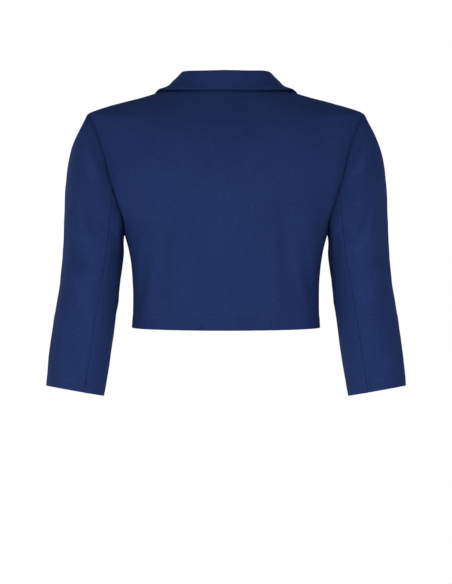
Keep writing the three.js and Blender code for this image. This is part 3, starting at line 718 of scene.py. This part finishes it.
def lay_grain(shape, grain):
    """Writes the grain map of every face's corners."""
    layer = shape.loops.layers.uv.new("grain")
    spots = {vert: grain(vert.co / MM) for vert in shape.verts}
    for face in shape.faces:
        for loop in face.loops:
            loop[layer].uv = spots[loop.vert]


# %% [markdown]
# ## Painted shade at seams and in folds
#
# Little light reaches into a seam or the bottom of a fold, and on dark cloth that shade is most of what one
# sees of them. It is finer than the render can show by itself. So every point stores two numbers, its
# distance from the nearest seam and the depth of its fold, and the material paints shade into the cloth's
# colour by both, and a little painted light onto the ridges of folds. Toward the shoulder the armhole seam
# lies open to the light, so its painted line thins out there.

# %% Measure how far every point is from a seam
SEAM_STEP = 0.4 * MM
FAR_AWAY = 20
OPEN_TO_LIGHT = {"from": -0.130, "over": 0.090, "thinner": 2.2}


def mark_seams(shape, seams):
    """Writes the distance to the nearest seam, in millimetres."""
    spots = []
    for first, last in seams:
        steps = max(1, round((last - first).length / SEAM_STEP))
        spots += [first.lerp(last, (step + 0.5) / steps) for step in range(steps)]
    tree = tree_of(spots)
    layer = shape.verts.layers.float.new("seam_distance")
    for vert in shape.verts:
        if not spots:
            vert[layer] = FAR_AWAY
            continue
        lit = min(max((vert.co.z - OPEN_TO_LIGHT["from"]) / OPEN_TO_LIGHT["over"], 0), 1)
        distance = tree.find(vert.co)[2] / MM
        vert[layer] = min(distance * (1 + OPEN_TO_LIGHT["thinner"] * lit), FAR_AWAY)


def mark_folds(shape, pressed, folded):
    """Writes how deep the nearest fold presses the cloth, in millimetres."""
    layer = shape.verts.layers.float.new("fold_depth")
    for vert in shape.verts:
        vert[layer] = float(folded[pressed.find(vert.co)[1]])


# %% [markdown]
# ## Double knit
#
# The cloth is a firm, smooth double knit. Close up it shows fine columns of V-shaped stitches. From
# arm's length only its matte depth and a fine speckle remain, since no two loops catch the same light.
# One node group draws the stitches, the speckle and a slow change of shade. Two materials use it: one
# for the panels, and one with a lower relief for the collar and the lapels, which are pressed hard.

# %% The knit as a node group
def add_node(tree, kind, place, **values):
    node = tree.nodes.new(kind)
    node.location = place
    for name, value in values.items():
        setattr(node, name, value)
    return node


def maths(tree, operation, place, first, second=None, third=None):
    """A Math node whose inputs are sockets or numbers. Returns its result."""
    node = add_node(tree, "ShaderNodeMath", place, operation=operation)
    for slot, value in zip(node.inputs, (first, second, third)):
        if value is None:
            continue
        if isinstance(value, (int, float)):
            slot.default_value = value
        else:
            tree.links.new(value, slot)
    return node.outputs[0]


knit = bpy.data.node_groups.new("double_knit", "ShaderNodeTree")
knit.interface.new_socket("Grain", in_out="INPUT", socket_type="NodeSocketVector")
knit.interface.new_socket("Place", in_out="INPUT", socket_type="NodeSocketVector")
knit.interface.new_socket("Column width", in_out="INPUT", socket_type="NodeSocketFloat")
knit.interface.new_socket("Height", in_out="OUTPUT", socket_type="NodeSocketFloat")
knit.interface.new_socket("Shade", in_out="OUTPUT", socket_type="NodeSocketFloat")
inlet = add_node(knit, "NodeGroupInput", (-1100, 0))
outlet = add_node(knit, "NodeGroupOutput", (700, 0))
split = add_node(knit, "ShaderNodeSeparateXYZ", (-900, 100))
knit.links.new(inlet.outputs["Grain"], split.inputs[0])
column = maths(knit, "DIVIDE", (-720, 160), split.outputs[0], inlet.outputs["Column width"])
course = maths(knit, "DIVIDE", (-720, 0), split.outputs[1], inlet.outputs["Column width"])
in_column = maths(knit, "FRACT", (-560, 160), column)
off_middle = maths(knit, "ABSOLUTE", (-260, 160), maths(knit, "SUBTRACT", (-400, 160), in_column, 0.5))
leg = maths(knit, "SINE", (-100, 160), maths(knit, "MULTIPLY", (-180, 260), off_middle, 2 * math.pi))
slanted = maths(knit, "SUBTRACT", (-260, 0), maths(knit, "MULTIPLY", (-400, 0), course, 1.3), off_middle)
beat = maths(knit, "SINE", (-100, 0), maths(knit, "MULTIPLY", (-180, -100), slanted, 2 * math.pi))
stitch = maths(knit, "MULTIPLY_ADD", (60, 0), beat, 0.3, 0.7)
height = maths(knit, "MULTIPLY", (220, 100), leg, stitch)
knit.links.new(height, outlet.inputs["Height"])
slow = add_node(knit, "ShaderNodeTexNoise", (-400, -300))
slow.inputs["Scale"].default_value = 14
slow.inputs["Detail"].default_value = 3
knit.links.new(inlet.outputs["Place"], slow.inputs["Vector"])
fine = add_node(knit, "ShaderNodeTexNoise", (-400, -520))
fine.inputs["Scale"].default_value = 470
fine.inputs["Detail"].default_value = 2
knit.links.new(inlet.outputs["Place"], fine.inputs["Vector"])
drift = maths(knit, "MULTIPLY_ADD", (-160, -300), slow.outputs["Fac"], 0.5, -0.35)
speckle = maths(knit, "MULTIPLY_ADD", (0, -400), fine.outputs["Fac"], 1.25, drift)
shade = maths(knit, "MULTIPLY_ADD", (220, -200), height, 0.2, speckle)
knit.links.new(shade, outlet.inputs["Shade"])
print("knit group outputs:", [item.name for item in knit.interface.items_tree])


# %% The cloth's materials
SEAM_SHADE = {"wide": 1.8, "dark": 0.15}
FOLD_SHADE = 0.07
COLUMN_WIDTH = 0.95
NAVY_DARK = (0.0105, 0.0222, 0.080, 1)
NAVY_LIGHT = (0.0222, 0.0432, 0.147, 1)


def cloth_material(name, bump):
    """Matte navy knit, with shade painted into its seams and fold troughs and light painted on fold ridges.
    bump says how strong its relief is.
    """
    material = bpy.data.materials.new(name)
    material.use_nodes = True
    tree = material.node_tree
    surface = tree.nodes["Principled BSDF"]
    surface.inputs["Roughness"].default_value = 0.88
    surface.inputs["Specular IOR Level"].default_value = 0.03
    grain = add_node(tree, "ShaderNodeUVMap", (-900, 100), uv_map="grain")
    place = add_node(tree, "ShaderNodeTexCoord", (-900, -150))
    group = add_node(tree, "ShaderNodeGroup", (-650, 0), node_tree=knit)
    group.inputs["Column width"].default_value = COLUMN_WIDTH
    tree.links.new(grain.outputs["UV"], group.inputs["Grain"])
    tree.links.new(place.outputs["Object"], group.inputs["Place"])
    tone = add_node(tree, "ShaderNodeMix", (-350, 150), data_type="RGBA")
    tone.inputs[6].default_value = NAVY_DARK
    tone.inputs[7].default_value = NAVY_LIGHT
    tree.links.new(group.outputs["Shade"], tone.inputs[0])
    # Painted shade along the seams: the cloth's colour darkens toward a seam.
    seam = add_node(tree, "ShaderNodeAttribute", (-900, 400), attribute_name="seam_distance")
    line = add_node(tree, "ShaderNodeMapRange", (-650, 400), interpolation_type="SMOOTHSTEP")
    line.inputs["From Max"].default_value = SEAM_SHADE["wide"]
    line.inputs["To Min"].default_value = SEAM_SHADE["dark"]
    tree.links.new(seam.outputs["Fac"], line.inputs["Value"])
    # Painted shade in the troughs of folds and painted light on their ridges: the deeper the trough, the
    # darker the cloth.
    fold = add_node(tree, "ShaderNodeAttribute", (-900, 600), attribute_name="fold_depth")
    fold_light_and_shade = maths(tree, "MULTIPLY_ADD", (-650, 650), fold.outputs["Fac"], -FOLD_SHADE, 1.0)
    both = maths(tree, "MULTIPLY", (-400, 500), line.outputs["Result"], fold_light_and_shade)
    shaded = add_node(tree, "ShaderNodeVectorMath", (-150, 250), operation="SCALE")
    tree.links.new(tone.outputs[2], shaded.inputs[0])
    tree.links.new(both, shaded.inputs["Scale"])
    tree.links.new(shaded.outputs[0], surface.inputs["Base Color"])
    relief = add_node(tree, "ShaderNodeBump", (-350, -200))
    relief.inputs["Strength"].default_value = bump
    relief.inputs["Distance"].default_value = 0.12 * MM
    tree.links.new(group.outputs["Height"], relief.inputs["Height"])
    tree.links.new(relief.outputs["Normal"], surface.inputs["Normal"])
    return material


navy_knit = cloth_material("navy_knit", bump=0.5)
pressed_knit = cloth_material("navy_knit_pressed", bump=0.35)
print("materials:", navy_knit.name, pressed_knit.name)


# %% Turn a finished shape into a piece that stands for its solid
def finish_piece(shape, name, material):
    mesh = bpy.data.meshes.new(name)
    shape.to_mesh(mesh)
    shape.free()
    mesh.materials.append(material)
    mesh.polygons.foreach_set("use_smooth", [True] * len(mesh.polygons))
    piece = bpy.data.objects.new(name, mesh)
    scene.collection.objects.link(piece)
    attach(piece, "root")
    return piece


def cut_piece(node, middle, folds, is_folded, grain, material, slanted=False):
    """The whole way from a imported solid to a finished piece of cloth."""
    shape, tips = rounded(node, slanted)
    if middle is sleeve_middle:
        tip_cuff(shape, middle)
    pressed, folded = settle_cloth(shape, middle, folds, is_folded)
    close_seams(shape, is_folded)
    seams = [[vert.co.copy() for vert in edge.verts] for edge in rim_edges(shape) if not is_folded(edge)]
    round_rims(shape, is_folded, tips)
    bmesh.ops.triangulate(shape, faces=[face for face in shape.faces if len(face.verts) > 4])
    lay_grain(shape, grain)
    mark_seams(shape, seams)
    mark_folds(shape, pressed, folded)
    piece = finish_piece(shape, node + "_cloth", material)
    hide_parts(node)
    corners = sum(len(face.vertices) - 2 for face in piece.data.polygons)
    print(f"{piece.name}: {corners} triangles, folds from {folded.min():.2f} to {folded.max():.2f} mm deep")
    return piece


# %% [markdown]
# ## The back
#
# One panel with no seam down its middle. It is widest between the shoulder tips, and the armholes bite
# into its sides.

# %% Make the back
back = cut_piece("back", body_middle, BODY_FOLDS, body_hem_edge, body_grain, navy_knit)

# %% [markdown]
# ## The fronts
#
# The photograph doesn't show them. Each is a plain panel from the shoulder and side seams to the front
# edge, which falls open and curves away a little at the hem.

# %% Make the fronts
fronts = {
    side: cut_piece("front_" + side, body_middle, BODY_FOLDS, front_folded_edge, front_grain, navy_knit)
    for side in ("left", "right")
}

# %% [markdown]
# ## The sleeves
#
# A tailored sleeve is cut in two: a broad upper panel, and a narrow under panel that lies in the shade
# beside the body. Their seams run down the back and the front of the arm.

# %% Make the sleeves
upper_sleeves = {
    side: cut_piece("upper_sleeve_" + side, sleeve_middle, SLEEVE_FOLDS, cuff_edge, sleeve_grain, navy_knit)
    for side in ("left", "right")
}
under_sleeves = {
    side: cut_piece(
        "under_sleeve_" + side,
        sleeve_middle,
        SLEEVE_FOLDS,
        cuff_edge,
        under_sleeve_grain,
        navy_knit,
        slanted=True,
    )
    for side in ("left", "right")
}

# %% [markdown]
# ## The collar and the lapels
#
# The collar stands up round the neck and falls over itself, and the lapels turn back from the front
# edges to meet it at the notches. Both are two layers of cloth pressed together, so they are firmer
# than the rest, with fewer folds and fully rounded edges. The two last rows of their table give the
# ends of the collar the small hook that they show from behind.

# %% Make the collar and the lapels
PRESSED_FOLDS = [
    ("rear", 34, 4, 80, 30, 6, 0.25),
    ("fore", 70, -120, 34, 26, 8, 0.3),
    ("outer", 0, 11, 90, 45, 4.5, 0.95),
    ("outer", 0, 3, 90, 45, 3.5, -0.75),
]
collar = cut_piece("collar", body_middle, PRESSED_FOLDS, lambda edge: True, collar_grain, pressed_knit)
lapels = {
    side: cut_piece("lapel_" + side, body_middle, PRESSED_FOLDS, lambda edge: True, lapel_grain, pressed_knit)
    for side in ("left", "right")
}

# %% [markdown]
# ## Blind hem stitches
#
# The hems are turned up and caught from inside by a blind stitch. Outside, each stitch shows only as a
# tiny prick of thread. A ray is cast in from outside wherever a stitch belongs, so that each one lies
# on the finished cloth, folds and all.

# %% One stitch, and the thread it is made of
STITCH = {"long": 1.5 * MM, "thick": 0.42 * MM, "apart": 6.0 * MM, "up": STITCHES_UP * MM}

thread = bpy.data.materials.new("navy_thread")
thread.use_nodes = True
thread_surface = thread.node_tree.nodes["Principled BSDF"]
thread_surface.inputs["Roughness"].default_value = 0.6
twist = add_node(thread.node_tree, "ShaderNodeTexWave", (-500, 0), bands_direction="DIAGONAL")
twist.inputs["Scale"].default_value = 900
thread_place = add_node(thread.node_tree, "ShaderNodeTexCoord", (-700, 0))
thread_tone = add_node(thread.node_tree, "ShaderNodeMix", (-300, 0), data_type="RGBA")
thread_tone.inputs[6].default_value = (0.030, 0.052, 0.150, 1)
thread_tone.inputs[7].default_value = (0.055, 0.085, 0.210, 1)
thread.node_tree.links.new(thread_place.outputs["Object"], twist.inputs["Vector"])
thread.node_tree.links.new(twist.outputs["Fac"], thread_tone.inputs[0])
thread.node_tree.links.new(thread_tone.outputs[2], thread_surface.inputs["Base Color"])


def surface_tree(piece):
    return BVHTree.FromPolygons(
        [vert.co for vert in piece.data.vertices], [face.vertices[:] for face in piece.data.polygons]
    )


def sew_row(name, piece, centre, side_way, depth_way, start, turn):
    """A row of stitches on a piece, round a centre, where rays from outside meet its cloth."""
    tree = surface_tree(piece)
    row = bmesh.new()
    angle, count = start, 0
    while angle < start + turn:
        way = (side_way * math.cos(angle) + depth_way * math.sin(angle)).normalized()
        spot, normal, _, _ = tree.ray_cast(centre + way * 0.3, -way)
        reach = (spot - centre).length if spot else 0.1
        if spot and (spot - centre).dot(way) > 0 and normal.dot(way) > 0.3:
            made = bmesh.ops.create_uvsphere(row, u_segments=8, v_segments=5, radius=0.5)
            along = side_way.cross(depth_way).normalized().cross(normal).normalized()
            slant = (along + normal.cross(along) * 0.25).normalized()
            width = normal.cross(slant).normalized()
            for vert in made["verts"]:
                x, y, z = vert.co
                vert.co = (
                    spot
                    + slant * z * STITCH["long"]
                    + width * x * STITCH["thick"]
                    + normal * y * STITCH["thick"]
                )
            count += 1
        angle += STITCH["apart"] / reach
    bmesh.ops.recalc_face_normals(row, faces=row.faces)
    stitches = finish_piece(row, name, thread)
    print(f"{name}: {count} stitches")
    return stitches


# %% Sew the body hem and the cuffs
hem_centre = Vector((0, 0, -0.3535 + STITCH["up"]))
ACROSS, DEEP = Vector((1, 0, 0)), Vector((0, 1, 0))
back_hem = sew_row("back_hem_stitches", back, hem_centre, ACROSS, DEEP, 0.02, math.pi - 0.04)
front_hems = {
    side: sew_row(f"front_{side}_hem_stitches", fronts[side], hem_centre, ACROSS, DEEP, start, math.pi / 2)
    for side, start in (("left", -math.pi / 2), ("right", -math.pi))
}


def sew_cuff(name, piece, side):
    mirror = Vector((side, 1, 1))
    down = (SLEEVE_CUFF - SLEEVE_TOP).normalized()
    centre = (SLEEVE_CUFF - down * STITCH["up"]) * mirror
    out = Vector((math.cos(SLEEVE_TILT), 0, math.sin(SLEEVE_TILT))) * mirror
    return sew_row(name, piece, centre, out, DEEP, -math.pi, 2 * math.pi)


cuffs = {
    (part, name): sew_cuff(f"{part}_sleeve_{name}_cuff_stitches", pieces[name], side)
    for part, pieces in (("upper", upper_sleeves), ("under", under_sleeves))
    for name, side in (("left", 1), ("right", -1))
}
